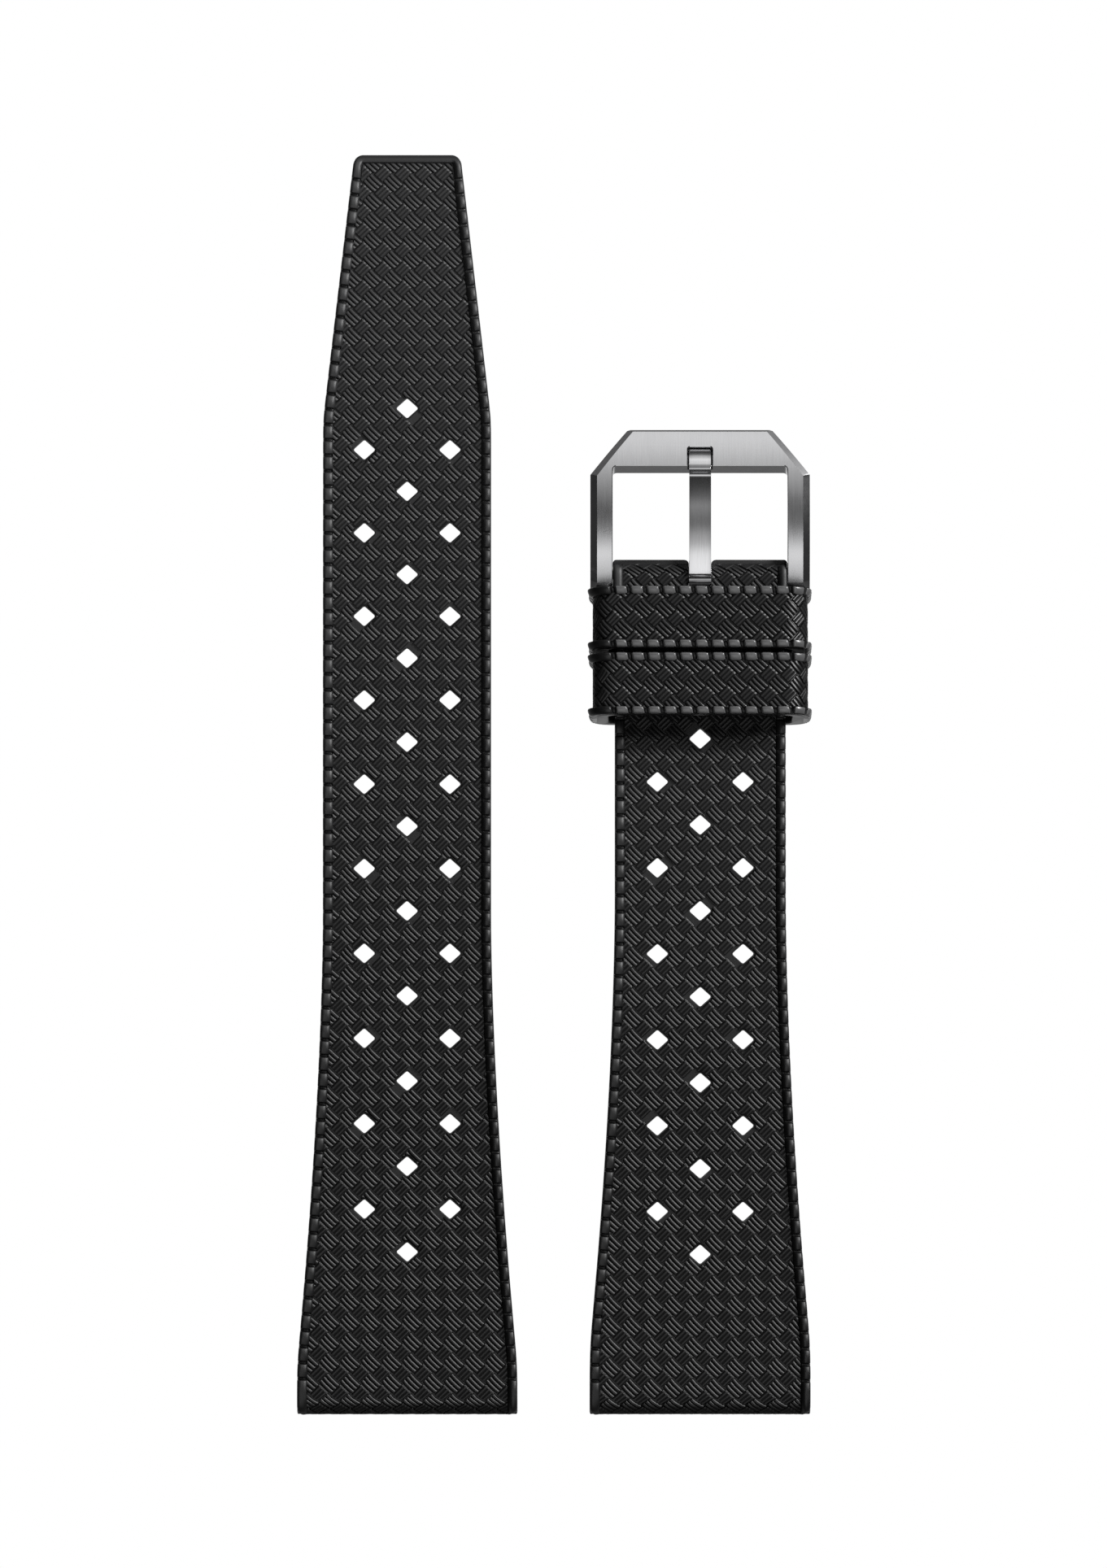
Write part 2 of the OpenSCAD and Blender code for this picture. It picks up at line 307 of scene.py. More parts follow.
def scalar_range(nt, fac, a, b, lo, hi):
    r = node(nt, "ShaderNodeMapRange")
    for k, v in (("From Min", a), ("From Max", b), ("To Min", lo), ("To Max", hi)):
        r.inputs[k].default_value = v
    nt.links.new(fac, r.inputs["Value"])
    return r.outputs["Result"]


def rubber(name, dark, light, tip, rough_lo, rough_hi, shine=0.5):
    """Near-black moulded rubber: a fine moulded grain, faint cloudy sheen and dust-grey variation, with painted light
    that makes the colour paler towards +Y, the tail's tip.
    """
    m, nt, p = principled(name)
    obj = node(nt, "ShaderNodeTexCoord").outputs["Object"]
    cloud = noise(nt, obj, 260.0, 4.0, 0.6)
    # painted light: the base colour turns from the cloudy dark to the tip colour towards +Y, a painted sheen where the
    # tip catches the light
    painted_tip_light = node(nt, "ShaderNodeMix", data_type="RGBA")
    sep = node(nt, "ShaderNodeSeparateXYZ")
    nt.links.new(obj, sep.inputs[0])
    nt.links.new(scalar_range(nt, sep.outputs["Y"], -0.03, 0.058, 0.0, 1.0), painted_tip_light.inputs[0])
    nt.links.new(ramp(nt, cloud, [(0.35, dark), (0.7, light)]), painted_tip_light.inputs[6])
    painted_tip_light.inputs[7].default_value = (*tip, 1.0)
    nt.links.new(painted_tip_light.outputs[2], p.inputs["Base Color"])
    grain = noise(nt, obj, 9000.0, 3.0, 0.6)
    sheen = noise(nt, obj, 700.0, 3.0, 0.55)
    nt.links.new(scalar(nt, sheen, rough_lo, rough_hi), p.inputs["Roughness"])
    b = node(nt, "ShaderNodeBump")
    b.inputs["Strength"].default_value = 0.35
    b.inputs["Distance"].default_value = 0.00002
    nt.links.new(grain, b.inputs["Height"])
    nt.links.new(b.outputs["Normal"], p.inputs["Normal"])
    p.inputs["Specular IOR Level"].default_value = shine
    return m


def steel(name, colour, rough_lo, rough_hi, brush=None, bump=0.0, aniso=0.0):
    """Stainless steel. brush stretches the grain: small along the brushing, large across it."""
    m, nt, p = principled(name)
    obj = node(nt, "ShaderNodeTexCoord").outputs["Object"]
    stretch = brush or (1, 1, 1)
    lines = noise(nt, obj, 9000.0 if brush else 1500.0, 4.0, 0.65, stretch)
    smear = noise(nt, obj, 400.0, 2.0, 0.5)
    c0 = tuple(c * 0.86 for c in colour)
    nt.links.new(ramp(nt, lines, [(0.25, c0), (0.75, colour)]), p.inputs["Base Color"])
    mix = node(nt, "ShaderNodeMath", operation="ADD")
    nt.links.new(lines, mix.inputs[0])
    nt.links.new(smear, mix.inputs[1])
    half = node(nt, "ShaderNodeMath", operation="MULTIPLY")
    nt.links.new(mix.outputs[0], half.inputs[0])
    half.inputs[1].default_value = 0.5
    nt.links.new(scalar(nt, half.outputs[0], rough_lo, rough_hi), p.inputs["Roughness"])
    if bump:
        b = node(nt, "ShaderNodeBump")
        b.inputs["Strength"].default_value = bump
        b.inputs["Distance"].default_value = 0.00001
        nt.links.new(lines, b.inputs["Height"])
        nt.links.new(b.outputs["Normal"], p.inputs["Normal"])
    p.inputs["Metallic"].default_value = 1.0
    return m


# the third colour of each rubber is painted tip light: the colour turns to it towards +Y
M_STRAP = rubber("strap_rubber", (0.0009, 0.0009, 0.0010), (0.0022, 0.0022, 0.0024), (0.0185, 0.0185, 0.0191), 0.43, 0.53)
M_KEEPER = rubber("keeper_rubber", (0.0009, 0.0009, 0.0010), (0.0022, 0.0022, 0.0024), (0.0075, 0.0075, 0.0078), 0.36, 0.46)
# painted highlight: a paler rubber that stands in for the light the keepers' bead tops and lower end faces catch
M_BEAD_PAINTED_HIGHLIGHT = rubber("bead_painted_highlight", (0.064, 0.064, 0.065), (0.090, 0.090, 0.091), (0.090, 0.090, 0.091), 0.28, 0.38, 0.8)
M_BRUSHED = steel("steel_brushed", (0.62, 0.62, 0.63), 0.21, 0.34, brush=(1.0, 0.035, 0.05), bump=0.12)
M_POLISHED = steel("steel_polished", (0.60, 0.60, 0.61), 0.10, 0.18)
M_SATIN = steel("steel_satin", (0.66, 0.66, 0.67), 0.40, 0.46)
M_TONGUE = steel("steel_tongue", (0.62, 0.62, 0.63), 0.11, 0.20, brush=(1.0, 0.05, 0.08), bump=0.06)
M_BAR = steel("steel_bar", (0.52, 0.52, 0.53), 0.22, 0.36, brush=(0.06, 1.0, 1.0), bump=0.3)
M_SPRING = steel("steel_spring", (0.46, 0.46, 0.47), 0.25, 0.4)

# ---------------------------------------------------------------- the moulded weave
# A basket weave of squares turned 45 degrees. One square holds three strands that
# fall from upper left to lower right, the next one three that rise. Row and column
# numbers (m across, n down the strap) are whole at the middle of a falling square.
CREST = 0.20     # height of a strand over the ground
ARCH = 0.012     # rise of a strand along its square
TOP_H = CREST + ARCH
# one square: height across its three strands, and how far along them it holds. The falling
# strands run on between the rising squares, whose upper ends are bevelled.
ACROSS = [(-0.455, -1)]
for c in (-0.30, 0.0, 0.30):
    ACROSS += [(c - 0.15, 0.02), (c - 0.074, 0.90), (c + 0.015, 0.97), (c + 0.078, 0.79)]
ACROSS += [(0.445, 0.02), (0.45, -1)]
# (and how high the ground between the strands comes up there)
ALONG_FALL = [(-0.57, -1, 0), (-0.54, 0.76, 0), (-0.2, 1.0, 0), (0.36, 1.0, 0), (0.54, 0.72, 0), (0.57, -1, 0)]
ALONG_RISE = [(-0.49, -1, 0), (-0.455, 0.66, 0.30), (0.30, 1.0, 0.36), (0.36, 0.95, 0.80), (0.470, 0.58, 0.50), (0.49, -1, 0)]
UNDER = 0.10     # the squares' outlines go on this far under their ground, the body starts 0.05 higher


def weave_slabs(inside, i0, i1, j0, j1, lay):
    """The squares i0..i1, j0..j1 whose middle is inside(m, n), each a closed little block that stands
    on the ground and goes on under it. lay(m, n) gives x and t."""
    I, J = np.meshgrid(np.arange(i0, i1 + 1), np.arange(j0, j1 + 1), indexing="ij")
    I, J = I.ravel(), J.ravel()
    keep = inside((I + J) / 2, (I - J) / 2)
    I, J = I[keep], J[keep]
    fall = (I + J) % 2 == 0
    a, pa = np.array(ACROSS).T
    na, nb = len(ACROSS), len(ALONG_FALL)
    shape = []
    for b, pb, web in (np.array(ALONG_RISE).T, np.array(ALONG_FALL).T):
        A, B, pa_, pb_, web = np.repeat(a, nb), np.tile(b, na), np.repeat(pa, nb), np.tile(pb, na), np.tile(web, na)
        H = np.where(np.minimum(pa_, pb_) > 0, np.maximum(pa_ * pb_, web) * CREST + ARCH * np.cos(np.pi * B), -UNDER)
        # and four points below the corners
        shape.append(np.stack([np.concatenate([A, [a[0], a[-1], a[-1], a[0]]]), np.concatenate([B, [b[0], b[0], b[-1], b[-1]]]),
                               np.concatenate([H, np.full(4, -9.0)])]))
    A, B, H = [np.where(fall[:, None], shape[1][q][None], shape[0][q][None]) for q in range(3)]
    # the falling strands are a little curved, the rising ones closer together
    A = np.where(fall[:, None], A - 0.035 * (1 - (B / 0.57) ** 2), 0.88 * A)
    U = I[:, None] + np.where(fall[:, None], A, B)
    V = J[:, None] + np.where(fall[:, None], B, A)
    x, t = lay(((U + V) / 2).ravel(), ((U - V) / 2).ravel())
    h = H.ravel()
    at = lambda p, q: p * nb + q
    low = na * nb
    sets = [[[at(p, q), at(p + 1, q), at(p + 1, q + 1), at(p, q + 1)] for p in range(na - 1) for q in range(nb - 1)],
            [[low, low + 1] + [at(p, 0) for p in range(na - 1, -1, -1)], [low + 2, low + 3] + [at(p, nb - 1) for p in range(na)]],
            [[low + 1, low + 2] + [at(na - 1, q) for q in range(nb - 1, -1, -1)], [low + 3, low] + [at(0, q) for q in range(nb)]],
            [[low + 3, low + 2, low + 1, low]]]
    first = np.arange(len(I)) * (low + 4)
    out = []
    for f in map(np.array, sets):
        g = f[None] + first[:, None, None]
        out.append(np.concatenate([g[~fall].reshape(-1, f.shape[1]), g[fall][:, :, ::-1].reshape(-1, f.shape[1])]))
    return x, t, h, tuple(out)


# ---------------------------------------------------------------- strap halves
# Cross-section of an edge rim: distance in from the side and height over the crest
# line, on a segment and in the notch between two segments.
RIM_L = np.array([[0.12, -1.05], [-0.01, -0.86], [-0.03, -0.5], [0.0, -0.22], [0.07, -0.07], [0.17, 0.0],
                  [0.34, -0.015], [0.54, -0.045], [0.71, -0.085], [0.85, -0.18], [0.96, -0.62], [0.60, -0.85]])
RIM_R = np.array([[0.12, -1.05], [-0.01, -0.86], [-0.03, -0.5], [0.0, -0.26], [0.06, -0.13], [0.18, -0.065],
                  [0.37, -0.02], [0.49, -0.03], [0.62, -0.12], [0.77, -0.27], [0.92, -0.62], [0.60, -0.85]])
NOTCH = np.array([[0.13, -1.05], [0.01, -0.86], [0.04, -0.66], [0.11, -0.56], [0.19, -0.53], [0.31, -0.52],
                  [0.46, -0.51], [0.58, -0.50], [0.70, -0.50], [0.81, -0.52], [0.92, -0.66], [0.60, -0.85]])
SINK = 0.30       # the weave's crests lie this far under the rims
BASE_DROP = TOP_H + SINK + UNDER - 0.05  # and the solid body this far


class Half:
    """One half of the strap. Flat coordinates: x across from its middle, t along it (y of the
    face, going on round the rounded ends by arc length), h height over the crest line."""

    def __init__(self, name, cx, hw, arc, th, end):
        self.name, self.cx, self.hw, self.arc, self.th, self.end = name, cx, hw, arc, th, end
        # slope where the face meets the rounded lug end
        self.a0 = math.atan(self._slope(YL))
        self.t0 = YL - LUG_R * math.sin(self.a0)
        self.d0 = LUG_R + LUG_R * math.cos(self.a0) - float(self._raw(self.t0))
        if end == "nose":
            self.a1 = -math.atan(self._slope(BAR_Y))
            self.t1 = BAR_Y + NOSE_R * math.sin(self.a1)
            self.d1 = BAR_Z + NOSE_R * math.cos(self.a1) - float(self._raw(self.t1))
            self.tip = BAR_Y + NOSE_R
        else:
            self.a1, self.t1, self.d1 = 0.0, 1e9, 0.0
            self.tip = TAIL_LEN / 2

    def _raw(self, y):
        y = np.asarray(y, float)
        return self.arc.at(y) + self.th(y) / 2

    def _slope(self, y, e=0.05):
        return float(self._raw(y + e) - self._raw(y - e)) / (2 * e)

    def top(self, y):
        y = np.asarray(y, float)
        z = self._raw(y) + self.d0 * (1 - ease((y - self.t0) / 3))
        if self.end == "nose":
            z = z + self.d1 * ease((y - self.t1 + 2.6) / 2.6)
        else:
            q = np.clip((y - TIP_Y) / 1.3, 0, 0.999)
            z = np.where(y > TIP_Y, TIP_Z + (z - TIP_Z) * np.sqrt(1 - q * q), z)
        return z

    def bottom(self, y):
        y = np.asarray(y, float)
        return self.arc.at(y) - self.th(y) / 2

    def place(self, x, t, h):
        x, t, h = np.broadcast_arrays(np.asarray(x, float), np.asarray(t, float), np.asarray(h, float))
        y, z = t.copy(), self.top(np.clip(t, self.t0, self.tip if self.end == "tip" else self.t1)) + h
        lug = t < self.t0
        a = self.a0 + (self.t0 - t) / LUG_R
        y = np.where(lug, YL - (LUG_R + h) * np.sin(a), y)
        z = np.where(lug, LUG_R + (LUG_R + h) * np.cos(a), z)
        if self.end == "nose":
            b = self.a1 + (t - self.t1) / NOSE_R
            nose = t > self.t1
            y = np.where(nose, BAR_Y + (NOSE_R + h) * np.sin(b), y)
            z = np.where(nose, BAR_Z + (NOSE_R + h) * np.cos(b), z)
        return np.stack([x, y, z], -1)

    def y_of(self, t):
        return self.place(0.0, t, 0.0)[..., 1]

    def width(self, y):
        """Half width at y, with the corners of the plan rounded."""
        y = np.asarray(y, float)
        w = self.hw(y)
        if self.end == "nose":
            w = w + 0.18 * ease((y - 16.6) / 1.2)
        r = 0.4
        q = np.clip((Y0 + r - y) / r, 0, 1)
        w = w - r * (1 - np.sqrt(1 - q * q))
        r = 0.85 if self.end == "tip" else 0.3
        q = np.clip((y - self.tip + r) / r, 0, 1)
        return w - r * (1 - np.sqrt(1 - q * q))

    # the body under the weave
    def body(self):
        drop_lug = lambda a: ((BASE_DROP - 0.19) * (1 - ease((a - math.radians(70)) / math.radians(24)))
                              + 0.19 * (1 - ease((a - math.radians(100)) / math.radians(60))))
        pts_top, pts_bot = [], []
        # lug end, from the top round to the bottom
        for a in np.linspace(math.pi, self.a0, 40):
            r = LUG_R - drop_lug(a)
            pts_top.append((YL - r * math.sin(a), LUG_R + r * math.cos(a)))
        if self.end == "nose":
            ys = np.linspace(self.t0 + 0.4, self.t1 - 0.2, 80)
            pts_top += [(y, float(self.top(y)) - BASE_DROP) for y in ys]
            for b in np.linspace(self.a1, math.pi, 44):
                r = NOSE_R - BASE_DROP * (1 - ease((b - math.radians(74)) / math.radians(6)))
                pts_top.append((BAR_Y + r * math.sin(b), BAR_Z + r * math.cos(b)))
        else:
            ys = np.linspace(self.t0 + 0.4, TIP_Y, 110)
            pts_top += [(y, float(self.top(y)) - BASE_DROP) for y in ys]
            for b in np.linspace(0.05, math.pi, 30):
                rz = TIP_T / 2 - (BASE_DROP if b < math.pi / 2 else 0) * max(0, math.cos(b))
                pts_top.append((TIP_Y + (TIP_T / 2 - 0.02) * math.sin(b), TIP_Z + rz * math.cos(b)))
        pts = np.array(pts_top)
        lo, hi = pts[:, 0].argmin(), pts[:, 0].argmax()
        upper = pts[lo:hi + 1]
        yb = np.linspace(YL, BAR_Y if self.end == "nose" else TIP_Y, 90)
        lower = np.concatenate([pts[:lo + 1][::-1][:-1], np.stack([yb, self.bottom(yb)], 1), pts[hi:][::-1][1:]])
        lower = lower[np.argsort(lower[:, 0], kind="stable")]
        upper = upper[np.argsort(upper[:, 0], kind="stable")]
        y_lo, y_hi = pts[lo, 0] + 1e-3, pts[hi, 0] - 1e-3
        c = 1 - np.cos(np.linspace(0, math.pi / 2, 14))
        ys = np.concatenate([y_lo + c * 1.9, np.arange(y_lo + 2.7, y_hi - 2.2, 1.0), (y_hi - c * 1.4)[::-1]])
        rings = []
        for y in ys:
            zt, zb = np.interp(y, upper[:, 0], upper[:, 1]), np.interp(y, lower[:, 0], lower[:, 1])
            w = float(self.width(y))
            hgt = max(zt - zb, 0.02)
            k = min(1.0, hgt / 1.4)
            rb, zm = 0.38 * k, zb + 0.52 * hgt
            right = [(w - 0.32 * k, zt), (w - 0.09 * k, zt - 0.10 * k), (w - 0.015, zt - 0.34 * k), (w, zt - 0.5 * k)]
            right += [(w, zm + 0.07 * k), (w + 0.03 * k, zm), (w, zm - 0.07 * k)]
            right += [(w - rb + rb * math.cos(a), zb + rb - rb * math.sin(a)) for a in np.linspace(0, math.pi / 2, 6)]
            ring = [(x, y, z) for x, z in right] + [(-x, y, z) for x, z in right[::-1]]
            rings.append(ring)
        return tube(self.name + "_body", rings)

    # one sweep along the edge: path points (x, t), inward normals and notch depth
    def sweep(self, path):
        rings = []
        for (x, t, nx, nt, q, ka, sink) in path:
            rim = RIM_R + (RIM_L - RIM_R) * (nx + 1) / 2
            prof = rim + (NOTCH - rim) * q
            a = prof[:, 0] * ka
            h = prof[:, 1] - sink
            rings.append(self.place(x + nx * a, t + nt * a, h))
        return tube(self.name + "_rim", rings)

    def side_path(self, sign, notches, t_lo, t_hi, sink_hi):
        """Path up one side. sign -1 is the left side."""
        ts = {}
        for c in notches:
            for d, q in ((0, 1.0), (0.07, 0.95), (0.12, 0.45), (0.165, 0.1), (0.23, 0.0)):
                ts[round(c + d, 5)] = q
                ts[round(c - d, 5)] = q
        span = sorted(notches)
        for a, b in zip(span, span[1:]):
            ts[round((a + b) / 2, 5)] = -0.06
        grid = np.arange(t_lo, t_hi, 0.3)
        for t in grid:
            if all(abs(t - c) > 0.9 for c in notches):
                ts[round(float(t), 5)] = 0.0
        ts[round(t_hi, 5)] = 0.0
        out = []
        for t in sorted(ts):
            if t < t_lo - 1e-6 or t > t_hi + 1e-6:
                continue
            y = float(self.y_of(t))
            w = float(self.width(y))
            dw = float(self.hw(y + 0.1) - self.hw(y - 0.1)) / 0.2
            nx, nt = 1.0, dw
            k = math.hypot(nx, nt)
            nx, nt = nx / k, nt / k
            a = self.a0 + (self.t0 - t) / LUG_R if t < self.t0 else 0.0
            sink = 0.13 * float(ease((a - math.radians(35)) / math.radians(35)))
            sink += 0.45 * float(ease((a - math.radians(125)) / math.radians(40)))
            if sink_hi is not None:
                sink += 0.6 * float(ease((t - sink_hi) / 0.7))
            out.append((sign * w, t, -sign * nx, nt, ts[t], 1.0, sink))
        return out

    def field(self, inset, t_lo, t_hi, rows, col_w, col_0, holes=()):
        """The woven skin: grid in the flat, clipped to the inset outline, then laid on the body."""
        tt = np.linspace(t_lo - 4, t_hi + 4, 4000)
        nn = rows(tt)                       # falls as t grows
        order = np.argsort(nn)
        t_of = lambda n: np.interp(n, nn[order], tt[order])
        wt = lambda t: self.width(np.clip(self.y_of(t), Y0 + 0.35, self.tip - 0.3))

        def flat(m, n):
            t = t_of(-n)                    # n counts upwards in the grid
            x = col_0(t) + m * col_w(t)
            return x, t

        def inside(m, n):
            x, t = flat(m, n)
            keep = (np.abs(x) < wt(t) - inset + 1.0) & (t > t_lo - 1) & (t < t_hi + 1)
            for hx, hy in holes:            # a hole takes the place of a square
                keep &= np.hypot(x - hx, t - hy) > 0.75
            return keep

        n_a, n_b = -float(rows(t_lo)) - 1, -float(rows(t_hi)) + 1
        x, t, h, faces = weave_slabs(inside, math.floor(n_a - 7), math.ceil(n_b + 7), math.floor(-7 - n_b),
                                     math.ceil(7 - n_a), flat)
        # it flattens towards the lug end's silhouette and sinks into the smooth underside
        a = np.where(t < self.t0, self.a0 + (self.t0 - t) / LUG_R, 0.0)
        lift = ease((a - math.radians(45)) / math.radians(40)) * (SINK - 0.14)
        even = ease((a - math.radians(62)) / math.radians(30))
        top = h + lift + (TOP_H * 0.86 - h) * even - 0.25 * ease((a - math.radians(98)) / math.radians(20)) - TOP_H - SINK
        if self.end == "nose":              # and it calms down over the nose
            b = np.where(t > self.t1, self.a1 + (t - self.t1) / NOSE_R, 0.0)
            top = top + (-0.14 * TOP_H - SINK - top) * 0.62 * ease((b - math.radians(24)) / math.radians(14))
        ob = mesh_obj(self.name + "_weave", np.stack([x, t, np.where(h < -1, -0.95, top)], 1), faces)
        ts = np.linspace(t_lo, t_hi, 160)
        side = [(float(wt(t)) - inset, float(t)) for t in ts]
        if self.end == "tip":
            # rounded inner corners at the tip
            r = 0.3
            side = [(w, t) for w, t in side if t < t_hi - r]
            w = side[-1][0]
            side += [(w - r + r * math.cos(b), t_hi - r + r * math.sin(b)) for b in np.linspace(0, math.pi / 2, 6)]
        poly = side + [(-x, t) for x, t in side[::-1]]
        boolean(ob, prism("clip", poly, -3, 3, "z"), "INTERSECT")
        co = co_of(ob)
        set_co(ob, self.place(co[:, 0], co[:, 1], co[:, 2]))
        return ob

    def hole_cutter(self, places):
        """Diamond holes: blunt corners, an eased lip on the face and a small one underneath."""
        verts, faces = [], []
        a1, b1, r = 0.95 - 0.17, 0.87 - 0.17, 0.17
        phi = math.atan2(a1, b1)

        def outline(off):
            out = []
            for cx, cy, mid in ((a1, 0, 0), (0, b1, math.pi / 2), (-a1, 0, math.pi), (0, -b1, 1.5 * math.pi)):
                half = phi if cy == 0 else math.pi / 2 - phi
                for k in np.linspace(-half, half, 5):
                    out.append((cx + (r + off) * math.cos(mid + k), cy + (r + off) * math.sin(mid + k)))
            return out

        for hx, hy in places:
            zt, zb = float(self.top(hy)), float(self.bottom(hy))
            levels = [(zb - 1.5, 0.16), (zb, 0.12), (zb + 0.16, 0.0), (zt - 1.05, 0.0), (zt - 0.62, 0.09),
                      (zt - 0.36, 0.22), (zt - 0.16, 0.36), (zt + 1.5, 0.40)]
            n = None
            for z, off in levels:
                ring = outline(off)
                n = len(ring)
                verts += [(hx + x, hy + y, z) for x, y in ring]
            b = len(verts) - n * len(levels)
            faces.append([b + i for i in range(n - 1, -1, -1)])
            for k in range(len(levels) - 1):
                faces += [[b + k * n + i, b + k * n + (i + 1) % n, b + (k + 1) * n + (i + 1) % n, b + (k + 1) * n + i]
                          for i in range(n)]
            faces.append([b + (len(levels) - 1) * n + i for i in range(n)])
        return mesh_obj("holes", verts, faces)


def move_x(ob, dx):
    co = co_of(ob)
    co[:, 0] += dx
    set_co(ob, co)


# ---- the tail half
tail = Half("strap_tail_half", -HALF_X, tail_hw, TAIL_ARC, tail_th, "tip")


def extend(f, tj):
    """Row numbers go on at the same pitch round the lug end."""
    s = (f(tj) - f(tj + 1e-3)) / 1e-3
    return lambda t: np.where(t < tj, f(tj) + (tj - t) * s, f(np.maximum(t, tj)))


tail_rows = extend(lambda y: 29.6663 - 0.539862 * y - 1.70987e-4 * y**2 - 9.0e-7 * y**3, tail.t0)
tail_cw = lambda t: 1.8668 - 5.887e-4 * np.clip(t, Y0, 60) + 4.2e-6 * np.clip(t, Y0, 60) ** 2
tail_c0 = lambda t: 0.408 + 3.5e-5 * np.clip(t, Y0, 60) ** 2 + 4e-4 * np.clip(t, Y0, 60)
tail_notches = [55.90 - 1.4064 * n - 0.000622 * n * n for n in range(77)]


def tail_rim():
    t_lo = tail.t0 - LUG_R * (math.radians(168) - tail.a0)
    r = 0.85
    t_c = tail.tip - r
    left = tail.side_path(-1, tail_notches, t_lo, t_c, None)
    w = float(tail.hw(tail.tip - 0.4)) - r
    # the rim narrows towards the tip
    left = [(x, t, nx, nt, q, 1 - 0.14 * float(ease((t - 54.5) / 2.2)), s) for x, t, nx, nt, q, k, s in left]
    corner = [(-w + r * math.cos(a), t_c + r * math.sin(a), -math.cos(a), -math.sin(a), 0.0, 0.86, 0.0)
              for a in np.linspace(math.pi, math.pi / 2, 10)[1:]]
    across = [(x, tail.tip, 0.0, -1.0, 0.0, 0.86, 0.0) for x in np.linspace(-w, w, 14)[1:-1]]
    half_path = left + corner
    other = [(-x, t, -nx, nt, q, k, s) for x, t, nx, nt, q, k, s in half_path[::-1]]
    return tail.sweep(half_path + across + other)


def tail_strap():
    ob = tail.body()
    t_lo = tail.t0 - LUG_R * (math.radians(130) - tail.a0)
    holes = []
    for j in range(21):
        y = TAIL_LEN / 2 - 23.38 - 3.81 * j - 0.00365 * j * j
        holes += [(s * 3.94, y) for s in (-1, 1)] if j % 2 else [(0.0, y)]
    weave = tail.field(0.88, t_lo, tail.tip - 0.68, tail_rows, tail_cw, tail_c0, holes)
    boolean(ob, weave, "UNION")
    boolean(ob, tail_rim(), "UNION")
    boolean(ob, tail.hole_cutter(holes))
    boolean(ob, prism("bore", circle(YL, LUG_R, LUG_BORE), -12, 12, "x"))
    tidy(ob)
    smooth(ob, 50)
    move_x(ob, -HALF_X)
    ob.name = ob.data.name = "strap_tail_half"
    return finish_piece(ob, "tail_half", ["long_strap"], [M_STRAP])


# ---- the buckle half
buck = Half("strap_buckle_half", HALF_X, buckle_hw, BUCKLE_ARC, buckle_th, "nose")
buck_rows = extend(lambda y: 0.5948 - 0.53641 * y - 1.1995e-4 * y**2 + 0.2 * ease((y - 12.5) / 4.5), buck.t0)
buck_cw = lambda t: 1.8833 + 1.517e-4 * np.clip(t, Y0, 22) + 1.51e-5 * np.clip(t, Y0, 22) ** 2
buck_c0 = lambda t: -0.4205 + 0.002353 * np.clip(t, Y0, 22)
buck_notches = [4.644 - 1.4704 * n - 0.00039 * n * n for n in range(-8, 41)]


def buckle_strap():
    ob = buck.body()
    t_lo = buck.t0 - LUG_R * (math.radians(130) - buck.a0)
    t_hi = buck.t1 + NOSE_R * (math.radians(80) - buck.a1)
    holes = []
    for j in range(13):
        y = 4.3 - 3.955 * j
        holes += [(s * 3.94, y) for s in (-1, 1)] if j % 2 else [(0.0, y)]
    weave = buck.field(0.88, t_lo, t_hi, buck_rows, buck_cw, buck_c0, holes)
    boolean(ob, weave, "UNION")
    r_lo = buck.t0 - LUG_R * (math.radians(168) - buck.a0)
    r_hi = buck.t1 + NOSE_R * (math.radians(75) - buck.a1)
    for s in (-1, 1):
        path = buck.side_path(s, buck_notches, r_lo, r_hi, r_hi - 0.8)
        boolean(ob, buck.sweep(path), "UNION")
    # slot for the tongue, with eased corners at the nose
    e = [(1.04, 17.78), (1.04, 20.4)] + [(1.04 + 0.38 * (1 - math.cos(a)), 20.4 + 0.38 * math.sin(a))
                                         for a in np.linspace(0.2, math.pi / 2, 7)] + [(1.5, 22)]
    boolean(ob, prism("slot", e + [(-x, y) for x, y in e[::-1]], -5, 12, "z"))
    boolean(ob, buck.hole_cutter(holes))
    boolean(ob, prism("bore", circle(YL, LUG_R, LUG_BORE), -12, 12, "x"))
    boolean(ob, prism("bore", circle(BAR_Y, BAR_Z, NOSE_BORE), -12, 12, "x"))
    tidy(ob)
    smooth(ob, 50)
    move_x(ob, HALF_X)
    ob.name = ob.data.name = "strap_buckle_half"
    return finish_piece(ob, "buckle_half", ["short_strap"], [M_STRAP])


# ---------------------------------------------------------------- keepers
KEEP_L, KEEP_W, KEEP_H, KEEP_R = 5.7, 19.8, 7.9, 2.0
IN_W, IN_H, IN_R = 16.8, 5.7, 1.0
PERIM = 2 * (KEEP_W - 2 * KEEP_R + KEEP_H - 2 * KEEP_R) + 2 * math.pi * KEEP_R


